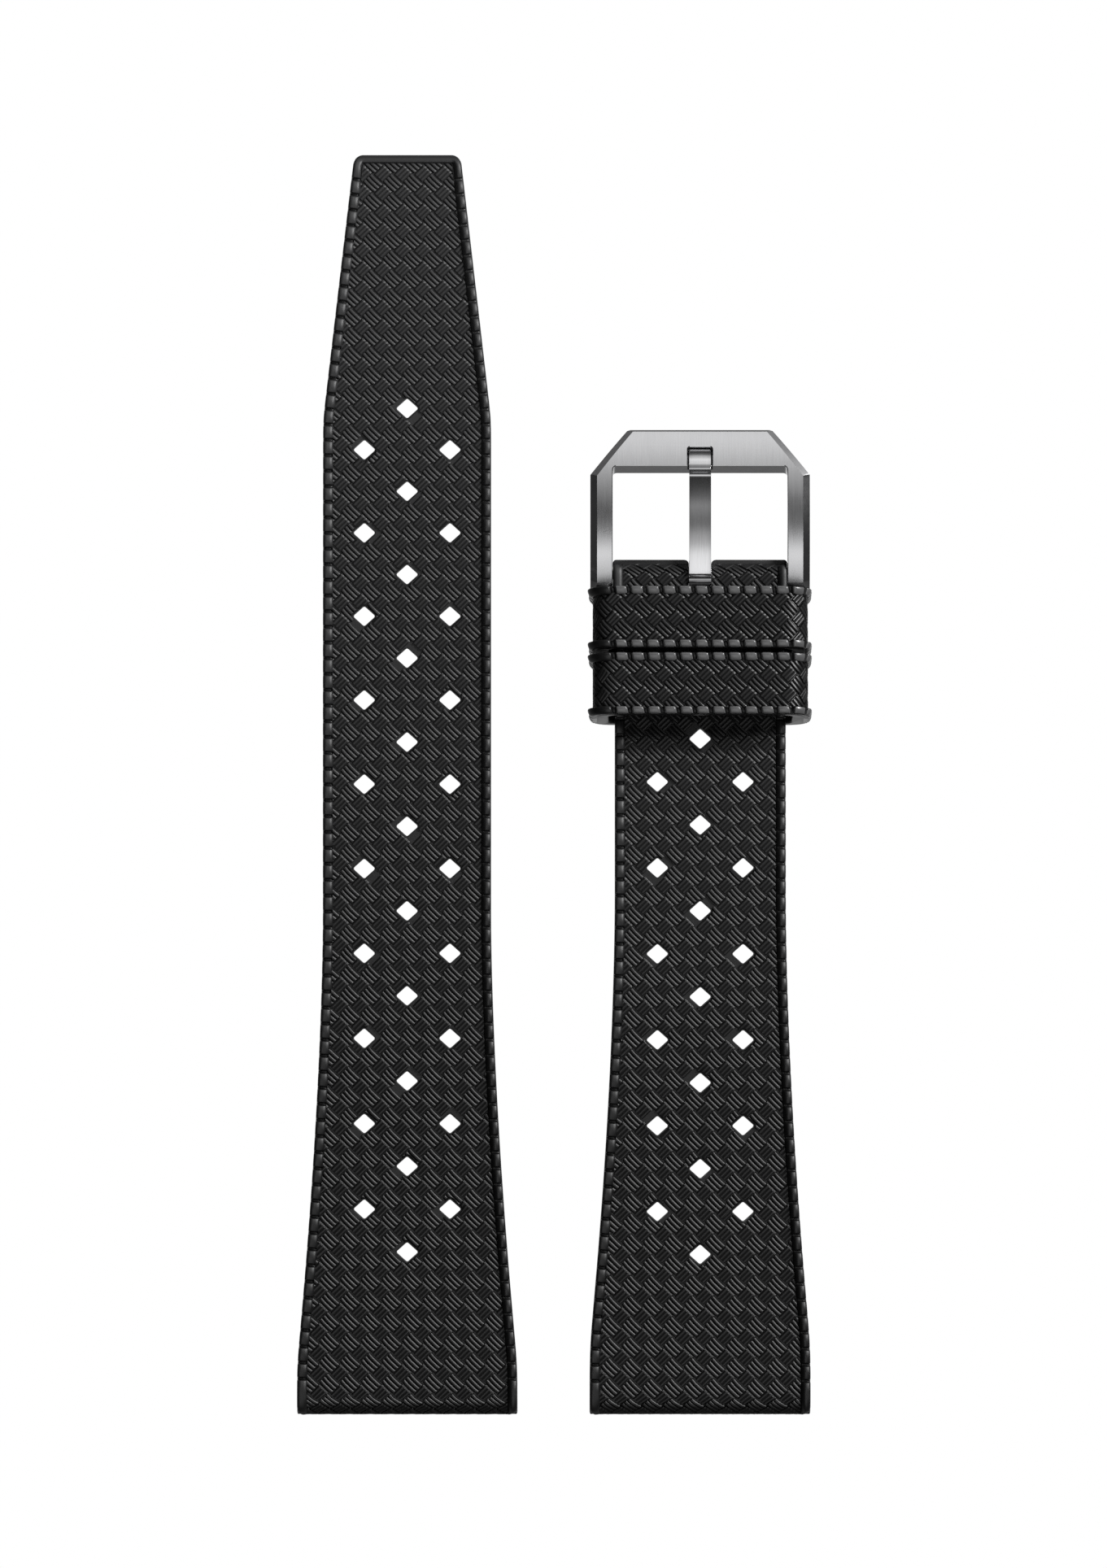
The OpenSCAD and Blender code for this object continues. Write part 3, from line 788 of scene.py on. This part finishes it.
def round_box(p, h=0.0, w=KEEP_W, t=KEEP_H, r=KEEP_R):
    """Point at arc length p round a rounded box (from the top middle towards +x), h outside it."""
    p = np.asarray(p, float) % (2 * (w - 2 * r + t - 2 * r) + 2 * math.pi * r)
    h = np.broadcast_to(np.asarray(h, float), p.shape)
    a, b, c = w / 2 - r, t - 2 * r, math.pi * r / 2
    marks = np.cumsum([a, c, b, c, 2 * a, c, b, c, a])
    x, z = np.zeros_like(p), np.zeros_like(p)
    k = np.searchsorted(marks, p, side="right").clip(0, 8)
    s = p - np.concatenate([[0], marks])[k]
    centres = {1: (a, b / 2, 90), 3: (a, -b / 2, 0), 5: (-a, -b / 2, -90), 7: (-a, b / 2, 180)}
    for q in range(9):
        m = k == q
        if q in centres:
            cx, cz, a0 = centres[q]
            g = np.radians(a0) - s / r
            x = np.where(m, cx + (r + h) * np.cos(g), x)
            z = np.where(m, cz + (r + h) * np.sin(g), z)
        elif q == 0:
            x, z = np.where(m, s, x), np.where(m, t / 2 + h, z)
        elif q == 2:
            x, z = np.where(m, w / 2 + h, x), np.where(m, b / 2 - s, z)
        elif q == 4:
            x, z = np.where(m, a - s, x), np.where(m, -t / 2 - h, z)
        elif q == 6:
            x, z = np.where(m, -w / 2 - h, x), np.where(m, -b / 2 + s, z)
        else:
            x, z = np.where(m, -a + s, x), np.where(m, t / 2 + h, z)
    return x, z


# bead of a keeper: distance in from the end face, height over the woven face
BEAD = np.array([[0.16, -0.55], [0.02, -0.30], [0.0, -0.05], [0.02, 0.12], [0.08, 0.23], [0.18, 0.29], [0.36, 0.31],
                 [0.54, 0.29], [0.66, 0.21], [0.74, 0.04], [0.78, -0.16], [0.60, -0.45]])
BEAD_NOTCH = np.array([[0.16, -0.55], [0.02, -0.30], [0.0, -0.08], [0.02, -0.02], [0.09, -0.09], [0.17, -0.17], [0.30, -0.22],
                       [0.43, -0.23], [0.55, -0.24], [0.65, -0.25], [0.72, -0.28], [0.60, -0.45]])


def keeper(k, name, body, node_name, phase, row_0, col_0):
    """One keeper loop about its own middle: weave round the outside, a segmented bead at each end."""
    ps = np.concatenate([np.arange(0, PERIM, PERIM / 160)])
    base_h = -TOP_H - UNDER + 0.05
    rings = []
    for y, h in ((-KEEP_L / 2, base_h - 0.14), (-KEEP_L / 2 + 0.04, base_h - 0.04), (-KEEP_L / 2 + 0.14, base_h),
                 (KEEP_L / 2 - 0.14, base_h), (KEEP_L / 2 - 0.04, base_h - 0.04), (KEEP_L / 2, base_h - 0.14)):
        x, z = round_box(ps, h)
        rings.append(np.stack([x, np.full_like(x, y), z], 1))
    ob = tube(name, rings)
    # the woven skin, unrolled, in two halves that meet under the loop and on the top
    per = 27
    pitch = PERIM / per
    row_p = 1.873
    half = PERIM / 2
    edge = KEEP_L / 2 - 0.62
    for part in (0, 1):
        p_lo, p_hi = (-half, 0.02) if part == 0 else (0.0, half + 0.02)

        def inside(m, n):
            p, y = m * pitch + col_0, n * row_p + row_0
            return (p > p_lo - 1) & (p < p_hi + 1) & (np.abs(y) < edge + 1)

        x, t, h, faces = weave_slabs(inside, -20, 20, -20, 20, lambda m, n: (m * pitch + col_0, n * row_p + row_0))
        sk = mesh_obj("skin", np.stack([x, t, np.where(h < -1, -0.6, h - TOP_H)], 1), faces)
        boolean(sk, prism("clip", [(p_lo, -edge), (p_hi, -edge), (p_hi, edge), (p_lo, edge)], -2, 2, "z"), "INTERSECT")
        # more points round the corners
        co = co_of(sk)
        x, z = round_box(co[:, 0], co[:, 2])
        set_co(sk, np.stack([x, co[:, 1], z], 1))
        boolean(ob, sk, "UNION")
    # beads
    n_seg = 35
    seg = PERIM / n_seg
    smooth_from, smooth_to = -12.4, -8.35
    for side in (-1, 1):
        ts = []
        for i in range(n_seg):
            c = phase + i * seg
            cc = (c + half) % PERIM - half
            plain = smooth_from < cc < smooth_to
            for d, q in ((-0.36, 0.03), (-0.27, 0.10), (-0.20, 0.30), (-0.15, 0.85), (-0.10, 1.0), (0.10, 1.0), (0.15, 0.85),
                         (0.20, 0.30), (0.27, 0.10), (0.36, 0.03), (seg / 2, 0.0)):
                ts.append((c + d, 0.0 if plain else q))
        rings = []
        for p, q in ts:
            prof = BEAD + (BEAD_NOTCH - BEAD) * q
            cc = (p + half) % PERIM - half
            cap = math.exp(-(((cc - smooth_from - 1.9) / 1.5) ** 2)) * 0.12
            y = side * (KEEP_L / 2 - prof[:, 0])
            pp = p + 0.16 * side * (prof[:, 0] - 0.38)
            # tipped a little towards the lugs
            tip = -side * 0.34 * (prof[:, 0] - 0.36) * (prof[:, 1] > 0.1)
            x, z = round_box(pp, prof[:, 1] + tip + cap * (prof[:, 1] > -0.2))
            rings.append(np.stack([x, y, z], 1))
        boolean(ob, tube("bead", rings, closed=True), "UNION")
    # the opening
    n = 160
    per_in = 2 * (IN_W - 2 * IN_R + IN_H - 2 * IN_R) + 2 * math.pi * IN_R
    pi = np.arange(0, per_in, per_in / n)
    rings = []
    for y, h in ((-4, 0.14), (-KEEP_L / 2 - 0.001, 0.14), (-KEEP_L / 2 + 0.06, 0.05), (-KEEP_L / 2 + 0.18, 0.0),
                 (KEEP_L / 2 - 0.18, 0.0), (KEEP_L / 2 - 0.06, 0.05), (KEEP_L / 2 + 0.001, 0.14), (4, 0.14)):
        x, z = round_box(pi, h, IN_W, IN_H, IN_R)
        rings.append(np.stack([x, np.full_like(x, y), z], 1))
    boolean(ob, tube("opening", rings))
    tidy(ob)
    smooth(ob, 50)
    # the beads' tops get a smoother, paler rubber; the paler colour is a painted highlight, and so is the paler colour
    # on the lower part of the end face towards the lugs
    me = ob.data
    c = np.zeros(len(me.polygons) * 3, np.float32)
    me.polygons.foreach_get("center", c)
    c = c.reshape(-1, 3).astype(float)
    qx, qz = np.abs(c[:, 0]) - (KEEP_W / 2 - KEEP_R), np.abs(c[:, 2]) - (KEEP_H / 2 - KEEP_R)
    out = np.hypot(np.maximum(qx, 0), np.maximum(qz, 0)) + np.minimum(np.maximum(qx, qz), 0) - KEEP_R
    edge_y = KEEP_L / 2 - np.abs(c[:, 1])
    painted_highlight_faces = (edge_y < 0.85) & (out + np.sign(c[:, 1]) * 0.34 * (edge_y - 0.36) > 0.17)
    painted_highlight_faces &= (c[:, 0] > -7.7) | (c[:, 2] < 0)
    # painted reflection: the lower part of the end face towards the lugs gets the paler rubber too
    painted_highlight_faces |= (edge_y < 0.1) & (c[:, 1] < 0) & (out > -1.2) & (c[:, 2] < 0.5)
    # into place on the strap
    y = BAR_Y - 4.655 - k * (KEEP_L + 0.30)
    a = BUCKLE_ARC.slope(y) - math.radians(2.5)
    lift = IN_H / 2 - BUCKLE_T / 2 - 0.34
    mat = (Matrix.Translation((HALF_X, y, float(BUCKLE_ARC.at(y)))) @ Matrix.Rotation(a, 4, "X")
           @ Matrix.Translation((0, 0, lift)))
    ob.data.transform(mat)
    ob.name = ob.data.name = name
    finish_piece(ob, body, [node_name], [M_KEEPER, M_BEAD_PAINTED_HIGHLIGHT])
    ob.data.polygons.foreach_set("material_index", painted_highlight_faces.astype(np.int32))
    return ob


# ---------------------------------------------------------------- buckle frame
FW, GAP, FT, FR = 20.2, 16.1, 2.2, 17.0
APEX_U = 6.2
ARCH_W = -math.sqrt(FR * FR - APEX_U * APEX_U)
A0 = math.asin(APEX_U / FR)
R_OUT = FR + FT / 2
DROOP = math.radians(-6.66)


def s_at(u):
    """Length along the bent plate of the radial line through u on its outer face."""
    return FR * (math.asin((u - APEX_U) / R_OUT) + A0)


def bend(ob):
    co = co_of(ob)
    # the legs' upper faces run nearly flat towards the bar
    d = np.clip(2.17 - co[:, 1], 0, 2.3)
    e = np.clip(-0.13 - co[:, 1], 0, 0.85)
    co[:, 2] += (0.0462 * d * d + 0.2125 * e + 0.5 * e * e / FR) * np.clip((co[:, 2] - 0.3) / 0.8, 0, 1)
    th = co[:, 1] / FR - A0
    u = APEX_U + (FR + co[:, 2]) * np.sin(th)
    w = ARCH_W + (FR + co[:, 2]) * np.cos(th)
    set_co(ob, np.stack([co[:, 0], u, w], 1))


def at_bar(ob):
    ob.data.transform(Matrix.Translation((HALF_X, BAR_Y, BAR_Z)) @ Matrix.Rotation(DROOP, 4, "X"))


def plane_cut(bm, co, no, clear=True):
    r = bmesh.ops.bisect_plane(bm, geom=bm.verts[:] + bm.edges[:] + bm.faces[:], plane_co=co, plane_no=no,
                               clear_outer=clear, dist=1e-6)
    if clear:
        e = [g for g in r["geom_cut"] if isinstance(g, bmesh.types.BMEdge)]
        if e:
            bmesh.ops.edgenet_fill(bm, edges=e)


def rounded_rect(x0, x1, y0, y1, r, off=0.0, open_low=False):
    """Plan outline with rounded corners at the y1 end (and at y0 unless open_low), grown by off."""
    pts = []
    for cx, cy, a0 in ((x1 - r, y1 - r, 0), (x0 + r, y1 - r, 90)):
        pts += [(cx + (r + off) * math.cos(math.radians(a0 + a)), cy + (r + off) * math.sin(math.radians(a0 + a)))
                for a in np.linspace(0, 90, 7)]
    if open_low:
        pts += [(x0 - off, y0), (x1 + off, y0)]
    else:
        for cx, cy, a0 in ((x0 + r, y0 + r, 180), (x1 - r, y0 + r, 270)):
            pts += [(cx + (r + off) * math.cos(math.radians(a0 + a)), cy + (r + off) * math.sin(math.radians(a0 + a)))
                    for a in np.linspace(0, 90, 7)]
    return pts


def stack(name, levels):
    """A cutter from outlines at heights."""
    return tube(name, [[(x, y, z) for x, y in pts] for z, pts in levels])


def buckle():
    s_end, s_ch, s_win = s_at(13.5), s_at(9.15), s_at(9.9)
    s_n0, s_n1 = s_at(8.1), s_at(11.75)
    h = FT / 2
    bm = bmesh.new()
    bmesh.ops.create_cube(bm, size=1.0, matrix=Matrix.Translation((0, (s_end - 1.4) / 2, 0)) @ Matrix.Diagonal((FW, s_end + 1.4, 2.7, 1)))
    ch = Vector((s_end - s_ch, 6.7 - 10.1, 0))       # along the right clipped corner: (ds, dx)
    for sx in (-1, 1):
        # clipped corner and its bevel
        n = Vector((sx * (s_end - s_ch), (10.1 - 6.7), 0)).normalized()
        c = Vector((sx * 10.1, s_ch, 0))
        plane_cut(bm, c, n)
        plane_cut(bm, c + Vector((0, 0, h - 0.42)), (n * 0.42 + Vector((0, 0, 0.60))).normalized())
        # leg bevel
        plane_cut(bm, (sx * 10.1, 0, h - 0.45), Vector((sx * 0.45, 0, 0.62)).normalized())
        # underside
        plane_cut(bm, (sx * 10.1, 0, -h + 0.2), Vector((sx, 0, -1)).normalized())
        plane_cut(bm, c + Vector((0, 0, -h + 0.2)), (n + Vector((0, 0, -1))).normalized())
    plane_cut(bm, (0, s_end, h - 0.26), Vector((0, 0.26, 0.30)).normalized())
    plane_cut(bm, (0, s_end, -h + 0.2), Vector((0, 1, -1)).normalized())
    me = bpy.data.meshes.new("frame")
    bmesh.ops.recalc_face_normals(bm, faces=bm.faces)
    bm.to_mesh(me)
    bm.free()
    ob = bpy.data.objects.new("frame", me)
    scene.collection.objects.link(ob)
    # side view: plate with rounded leg ends
    side = [(-0.34 + 0.92 * math.cos(a), 0.18 + 0.92 * math.sin(a)) for a in np.linspace(math.radians(90), math.radians(180), 14)]
    side += [(-0.34 + 0.92 * math.cos(a), -0.18 - 0.92 * math.sin(a)) for a in np.linspace(math.radians(180), math.radians(90), 14)]
    side += [(s_end + 1, -h), (s_end + 1, h)]
    boolean(ob, prism("side", side, -12, 12, "x"), "INTERSECT")
    # window with small rounded corners and a thin polished edge
    g = GAP / 2
    win = lambda off: rounded_rect(-g, g, -4, s_win, 0.38, off, open_low=True)
    boolean(ob, stack("window", [(-3, win(0.12)), (-h, win(0.12)), (-h + 0.14, win(0)), (h - 0.07, win(0)), (h + 0.07, win(0.13)), (3, win(0.13))]))
    # notch for the tongue: rounded corners, a soft floor edge and a light outline
    nt = lambda off: rounded_rect(-1.15, 1.15, s_n0 - 2, s_n1, 0.26, off, open_low=True)
    boolean(ob, stack("notch", [(0.0, nt(-0.14)), (0.05, nt(-0.03)), (0.14, nt(0)), (h - 0.07, nt(0)), (h + 0.07, nt(0.13)), (3, nt(0.13))]))
    # blind holes for the bar's pivots
    for s in (-1, 1):
        boolean(ob, prism("pivot", circle(0, 0, 0.45, 32), min(0, s * 9.35), max(0, s * 9.35), "x"))
    # slices, so that the plate bends smoothly
    bm = bmesh.new()
    bm.from_mesh(ob.data)
    for s in [-0.33, -0.2] + list(np.arange(0.1, s_end, 0.33)):
        plane_cut(bm, (0, s, 0), (0, 1, 0), clear=False)
    bmesh.ops.recalc_face_normals(bm, faces=bm.faces)
    for f in bm.faces:
        c = f.calc_center_median()
        f.material_index = 0 if f.normal.z > 0.97 and c.z > h - 0.3 else 1
        if 0.70 < f.normal.z < 0.92 and abs(f.normal.x) > 0.25 and f.normal.y > 0.2:
            f.material_index = 2            # the bevels of the clipped corners
    bm.to_mesh(ob.data)
    bm.free()
    bend(ob)
    smooth(ob, 24)
    at_bar(ob)
    ob.name = ob.data.name = "pin_buckle_frame"
    idx = np.zeros(len(ob.data.polygons), np.int32)
    ob.data.polygons.foreach_get("material_index", idx)
    finish_piece(ob, "frame", ["buckle_frame"], [M_BRUSHED, M_POLISHED, M_SATIN])
    ob.data.polygons.foreach_set("material_index", idx)
    return ob


# ---------------------------------------------------------------- tongue
# Slope of the tongue's upper face in degrees below level, along the frame: it leaves the
# curl rising, runs nearly straight, steps down at the window's edge and lies in the notch.
TONGUE_SLOPE = [(-0.32, -14.2), (0.6, -13.5), (1.28, -13.0), (1.73, -12.4), (2.19, -11.3), (2.64, -10.2), (3.09, -9.5), (3.54, -9.0),
                (4.0, -8.2), (4.45, -7.6), (4.9, -7.5), (5.58, -8.0), (6.03, -8.3), (6.49, -7.9), (6.94, -7.1), (7.39, -6.4), (8.07, -5.2),
                (8.72, -3.7), (8.98, 30.0), (9.10, 54.0), (9.46, 54.0), (9.62, 8.0), (9.75, 3.5), (9.92, 5.5), (10.08, 17.5),
                (10.37, 18.5), (10.6, 27.0), (10.75, 26.0), (11.0, 30.0), (11.25, 33.0), (11.4, 44.0), (11.55, 50.0)]


def tongue_top():
    us = np.linspace(-0.32, 11.55, 260)
    g = np.tan(np.radians(np.interp(us, [p[0] for p in TONGUE_SLOPE], [p[1] for p in TONGUE_SLOPE])))
    ws = 1.312 - np.concatenate([[0], np.cumsum((g[1:] + g[:-1]) / 2 * np.diff(us))])
    return us, ws


def tongue():
    us, ws = tongue_top()
    ub = np.linspace(-0.32, 11.32, 120)
    thick = 0.60 + 0.15 * ease((ub + 0.4) / 2.4)
    low = np.interp(ub, us, ws) - thick
    rest = ARCH_W + np.sqrt(17.08**2 - (ub - APEX_U) ** 2)
    k = ease((ub - 8.2) / 1.5)
    low = low * (1 - k) + rest * k
    keep = np.concatenate([[0], np.nonzero(np.diff(us) > 0)[0] + 1])
    top = [(float(us[q]), float(ws[q])) for q in keep if q % 3 == 0 or 8.6 < us[q] < 10.3]
    bot = list(zip(ub.tolist(), low.tolist()))
    end_u, end_w = top[-1]
    tip = [(end_u + 0.05, end_w - 0.10), (end_u + 0.04, end_w - 0.28)]
    ob = prism("tongue", top + tip + bot[::-1], -1.0, 1.0, "x")
    boolean(ob, prism("curl", circle(0, 0, 1.35, 72), -1.02, 1.02, "x"), "UNION")
    boolean(ob, prism("pad", [(-0.84, 0.9), (-0.22, 0.9), (-0.22, 1.20), (-0.84, 1.31)], -1.01, 1.01, "x"), "UNION")
    boolean(ob, prism("bore", circle(0, 0, 0.8, 48), -3, 3, "x"))
    # the seam where the curled end closes against the strip
    boolean(ob, prism("seam", [(-0.34, 1.0), (-0.13, 0.95), (-0.13, 2.2), (-0.34, 2.2)], -3, 3, "x"))
    m = ob.modifiers.new("bevel", "BEVEL")
    m.width, m.segments, m.limit_method, m.angle_limit = 0.07, 3, "ANGLE", math.radians(50)
    apply_modifiers(ob)
    smooth(ob, 32)
    at_bar(ob)
    ob.name = ob.data.name = "pin_buckle_tongue"
    return finish_piece(ob, "tongue", ["buckle_tongue"], [M_TONGUE])


# ---------------------------------------------------------------- build
tail_strap()
buckle_strap()
keeper(0, "keeper_loop_front", "keeper_1", "front_keeper", -0.64, -1.07, 0.633)
keeper(1, "keeper_loop_rear", "keeper_2", "rear_keeper", -0.54, -0.064, -0.473)
buckle()
tongue()
for name, mat in (("spring_bar_tube", M_BAR), ("spring_bar_tip_left", M_BAR), ("spring_bar_tip_right", M_BAR),
                  ("spring_bar_spring", M_SPRING)):
    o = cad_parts[name]
    o.data.materials.clear()
    o.data.materials.append(mat)
    o.data.polygons.foreach_set("use_smooth", np.ones(len(o.data.polygons), bool))
    o.data.update()

# ---------------------------------------------------------------- floor, light, camera
floor_mat, nt, p = principled("floor")
p.inputs["Base Color"].default_value = (0.0, 0.0, 0.0, 1)
p.inputs["Roughness"].default_value = 1.0
p.inputs["Specular IOR Level"].default_value = 0.0
p.inputs["Emission Color"].default_value = (1, 1, 1, 1)
p.inputs["Emission Strength"].default_value = 1.0
bm = bmesh.new()
bmesh.ops.create_grid(bm, x_segments=2, y_segments=2, size=3.0)
me = bpy.data.meshes.new("floor")
bm.to_mesh(me)
bm.free()
floor = bpy.data.objects.new("floor", me)
scene.collection.objects.link(floor)
floor.location.z = -0.00018
me.materials.append(floor_mat)
floor.visible_diffuse = False
floor.visible_glossy = False


def area(name, az, el, dist, size, power, colour=(1, 1, 1)):
    """An area light that looks at the middle of the strap from an azimuth (0 is +X, 90 is +Y) and height."""
    d = bpy.data.lights.new(name, "AREA")
    d.shape, d.size, d.size_y, d.energy, d.color = "RECTANGLE", size[0], size[1], power, colour
    o = bpy.data.objects.new(name, d)
    scene.collection.objects.link(o)
    a, e = math.radians(az), math.radians(el)
    o.location = Vector((math.cos(a) * math.cos(e), math.sin(a) * math.cos(e), math.sin(e))) * dist
    o.rotation_euler = o.location.to_track_quat("Z", "Y").to_euler()
    return o


area("key", 30, 33, 1.0, (0.34, 0.24), 13.0)

w = bpy.data.worlds.new("studio")
scene.world = w
w.use_nodes = True
wn = w.node_tree
bg = wn.nodes["Background"]
sky = node(wn, "ShaderNodeTexCoord")
sep = node(wn, "ShaderNodeSeparateXYZ")
wn.links.new(sky.outputs["Generated"], sep.inputs[0])


def wmath(op, a, b=None):
    n = node(wn, "ShaderNodeMath", operation=op)
    for k, v in enumerate((a, b)):
        if v is None:
            continue
        if isinstance(v, (int, float)):
            n.inputs[k].default_value = v
        else:
            wn.links.new(v, n.inputs[k])
    return n.outputs[0]


# softboxes over the middle, set out by the angle from straight above: minus is towards the lugs
tilt = scalar_range(wn, wmath("ARCTAN2", sep.outputs["Y"], sep.outputs["Z"]), -math.pi / 2, math.pi / 2, 0, 1)
BOXES = [(-90, 0.0), (-72, 0.05), (-60, 0.35), (-48, 0.85), (-35, 1.10), (-21, 1.36), (-13, 1.50), (-7, 0.75), (-2, 0.22), (2, 0.0), (13, 0.0),
         (18, 0.12), (26, 0.36), (38, 0.62), (48, 0.95), (60, 1.25), (67, 0.9), (74, 0.05), (90, 0.0)]
boxes = ramp(wn, tilt, [((a + 90) / 180, v) for a, v in BOXES])
side = ramp(wn, wmath("ABSOLUTE", sep.outputs["X"]), [(0.22, 1.0), (0.42, 0.0)])
base = ramp(wn, scalar_range(wn, sep.outputs["Z"], -1, 1, 0, 1), [(0.0, 0.9), (0.035, 0.8), (0.09, 0.16), (0.44, 0.10), (0.50, 0.03), (0.72, 0.05), (1.0, 0.03)])
wn.links.new(wmath("ADD", wmath("MULTIPLY", boxes, side), base), bg.inputs["Color"])
bg.inputs["Strength"].default_value = 1.0

cam = bpy.data.cameras.new("camera")
cam.lens, cam.sensor_width, cam.clip_start, cam.clip_end = 400.0, 36.0, 0.01, 20.0
co = bpy.data.objects.new("camera", cam)
scene.collection.objects.link(co)
co.location = (-0.000012, 0.00015, 1.6072)
scene.camera = co
scene.view_settings.view_transform = "Standard"
scene.view_settings.look = "None"
scene.view_settings.exposure = 0.0
